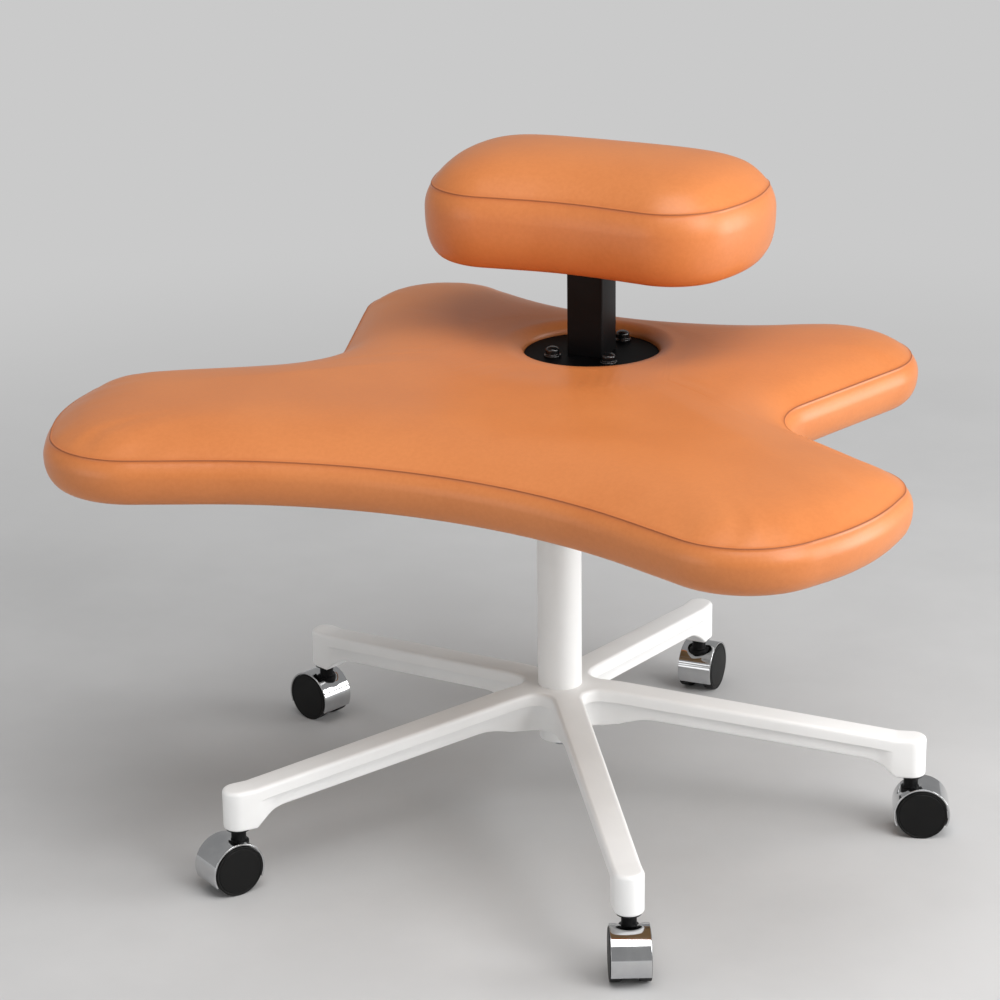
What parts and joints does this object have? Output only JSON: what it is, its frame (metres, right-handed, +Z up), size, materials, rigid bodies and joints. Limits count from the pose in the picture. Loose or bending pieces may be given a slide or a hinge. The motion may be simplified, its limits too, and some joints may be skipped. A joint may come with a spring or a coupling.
{
  "type": "cross-legged office chair",
  "caption": "Height-adjustable office chair with a wide butterfly-shaped leather seat for sitting cross-legged, a low padded back rest on a post, and a star base on twin-wheel casters.",
  "frame": {"origin": "on the floor, on the axis of the lift column, which is 5 mm in front of the middle of the chair's box", "axes": "+Z up, -Y towards the front of the seat (the side with the wide lobes), +X to the viewer's right of the seat seen from the front"},
  "size_m": [0.788, 0.7325, 0.6418],
  "materials": {
    "white_paint": "satin white powder coat",
    "black_paint": "satin black powder coat",
    "black_plastic": "fine matte black",
    "wheel_black": "smooth black nylon",
    "zinc_steel": "bright zinc",
    "chrome": "polished chrome",
    "tan_leather": "satin tan coated leather with a fine grain",
    "plywood": "bare plywood"
  },
  "bodies": {
    "base": {"star_base": "white_paint", "lift_tube": "white_paint", "guide_bush": "black_plastic", "thrust_bearing": "zinc_steel", "caster_socket_1": "black_plastic", "caster_socket_2": "black_plastic", "caster_socket_3": "black_plastic", "caster_socket_4": "black_plastic", "caster_socket_5": "black_plastic"},
    "piston": {"piston_rod": "zinc_steel", "retaining_clip": "zinc_steel"},
    "seat": {"gas_cylinder": "chrome", "seat_mechanism": "black_paint", "mechanism_bolt_1": "zinc_steel", "mechanism_bolt_2": "zinc_steel", "mechanism_bolt_3": "zinc_steel", "mechanism_bolt_4": "zinc_steel", "seat_board": "plywood", "seat_cushion": "tan_leather", "riser_block": "plywood", "post_plate": "black_paint", "post_bolt_1": "black_paint", "post_bolt_2": "black_paint", "post_bolt_3": "black_paint", "post_bolt_4": "black_paint", "post": "black_paint", "pad_bracket": "black_paint", "pad_screw_1": "zinc_steel", "pad_screw_2": "zinc_steel", "pad_board": "plywood", "pad_cushion": "tan_leather"},
    "lever": {"lift_lever": "zinc_steel", "lever_paddle": "black_plastic"},
    "valve": {"valve_pin": "zinc_steel"},
    "caster_1": {"caster_stem_1": "black_paint", "caster_hood_1": "chrome", "caster_axle_1": "zinc_steel"},
    "wheel_1_left": {"wheel_1_left": "wheel_black"},
    "wheel_1_right": {"wheel_1_right": "wheel_black"},
    "caster_2": {"caster_stem_2": "black_paint", "caster_hood_2": "chrome", "caster_axle_2": "zinc_steel"},
    "wheel_2_left": {"wheel_2_left": "wheel_black"},
    "wheel_2_right": {"wheel_2_right": "wheel_black"},
    "caster_3": {"caster_stem_3": "black_paint", "caster_hood_3": "chrome", "caster_axle_3": "zinc_steel"},
    "wheel_3_left": {"wheel_3_left": "wheel_black"},
    "wheel_3_right": {"wheel_3_right": "wheel_black"},
    "caster_4": {"caster_stem_4": "black_paint", "caster_hood_4": "chrome", "caster_axle_4": "zinc_steel"},
    "wheel_4_left": {"wheel_4_left": "wheel_black"},
    "wheel_4_right": {"wheel_4_right": "wheel_black"},
    "caster_5": {"caster_stem_5": "black_paint", "caster_hood_5": "chrome", "caster_axle_5": "zinc_steel"},
    "wheel_5_left": {"wheel_5_left": "wheel_black"},
    "wheel_5_right": {"wheel_5_right": "wheel_black"}
  },
  "joints": [
    {"name": "seat_swivel", "type": "hinge", "parent": "base", "child": "piston", "pos_m": [0, 0, 0.0805], "axis": [0, 0, 1], "continuous": true},
    {"name": "seat_lift", "type": "slide", "parent": "piston", "child": "seat", "axis": [0, 0, 1], "range_m": [-0.052, 0.053]},
    {"name": "lever_lift", "type": "hinge", "parent": "seat", "child": "lever", "pos_m": [-0.022, 0, 0.3846], "axis": [0, 1, 0], "range_deg": [0, 8]},
    {"name": "valve_press", "type": "slide", "parent": "seat", "child": "valve", "axis": [0, 0, -1], "range_m": [0, 0.0034]},
    {"name": "caster_swivel_1", "type": "hinge", "parent": "base", "child": "caster_1", "pos_m": [0.18441, -0.27967, 0.0595], "axis": [0, 0, 1], "continuous": true},
    {"name": "wheel_roll_1_left", "type": "hinge", "parent": "caster_1", "child": "wheel_1_left", "pos_m": [0.18901, -0.28911, 0.024], "axis": [0.8988, 0.4384, 0], "continuous": true},
    {"name": "wheel_roll_1_right", "type": "hinge", "parent": "caster_1", "child": "wheel_1_right", "pos_m": [0.18901, -0.28911, 0.024], "axis": [0.8988, 0.4384, 0], "continuous": true},
    {"name": "caster_swivel_2", "type": "hinge", "parent": "base", "child": "caster_2", "pos_m": [0.32297, 0.08896, 0.0595], "axis": [0, 0, 1], "continuous": true},
    {"name": "wheel_roll_2_left", "type": "hinge", "parent": "caster_2", "child": "wheel_2_left", "pos_m": [0.33284, 0.09255, 0.024], "axis": [-0.342, 0.9397, 0], "continuous": true},
    {"name": "wheel_roll_2_right", "type": "hinge", "parent": "caster_2", "child": "wheel_2_right", "pos_m": [0.33284, 0.09255, 0.024], "axis": [-0.342, 0.9397, 0], "continuous": true},
    {"name": "caster_swivel_3", "type": "hinge", "parent": "base", "child": "caster_3", "pos_m": [0.0152, 0.33465, 0.0595], "axis": [0, 0, 1], "continuous": true},
    {"name": "wheel_roll_3_left", "type": "hinge", "parent": "caster_3", "child": "wheel_3_left", "pos_m": [0.01501, 0.34515, 0.024], "axis": [-0.9998, -0.0175, 0], "continuous": true},
    {"name": "wheel_roll_3_right", "type": "hinge", "parent": "caster_3", "child": "wheel_3_right", "pos_m": [0.01501, 0.34515, 0.024], "axis": [-0.9998, -0.0175, 0], "continuous": true},
    {"name": "caster_swivel_4", "type": "hinge", "parent": "base", "child": "caster_4", "pos_m": [-0.31358, 0.11787, 0.0595], "axis": [0, 0, 1], "continuous": true},
    {"name": "wheel_roll_4_left", "type": "hinge", "parent": "caster_4", "child": "wheel_4_left", "pos_m": [-0.32351, 0.12129, 0.024], "axis": [-0.3256, -0.9455, 0], "continuous": true},
    {"name": "wheel_roll_4_right", "type": "hinge", "parent": "caster_4", "child": "wheel_4_right", "pos_m": [-0.32351, 0.12129, 0.024], "axis": [-0.3256, -0.9455, 0], "continuous": true},
    {"name": "caster_swivel_5", "type": "hinge", "parent": "base", "child": "caster_5", "pos_m": [-0.209, -0.26181, 0.0595], "axis": [0, 0, 1], "continuous": true},
    {"name": "wheel_roll_5_left", "type": "hinge", "parent": "caster_5", "child": "wheel_5_left", "pos_m": [-0.21441, -0.27081, 0.024], "axis": [0.8572, -0.515, 0], "continuous": true},
    {"name": "wheel_roll_5_right", "type": "hinge", "parent": "caster_5", "child": "wheel_5_right", "pos_m": [-0.21441, -0.27081, 0.024], "axis": [0.8572, -0.515, 0], "continuous": true}
  ],
  "couplings": [
    {"joint": "valve_press", "follows": "lever_lift", "m_per_rad": 0.0235}
  ]
}
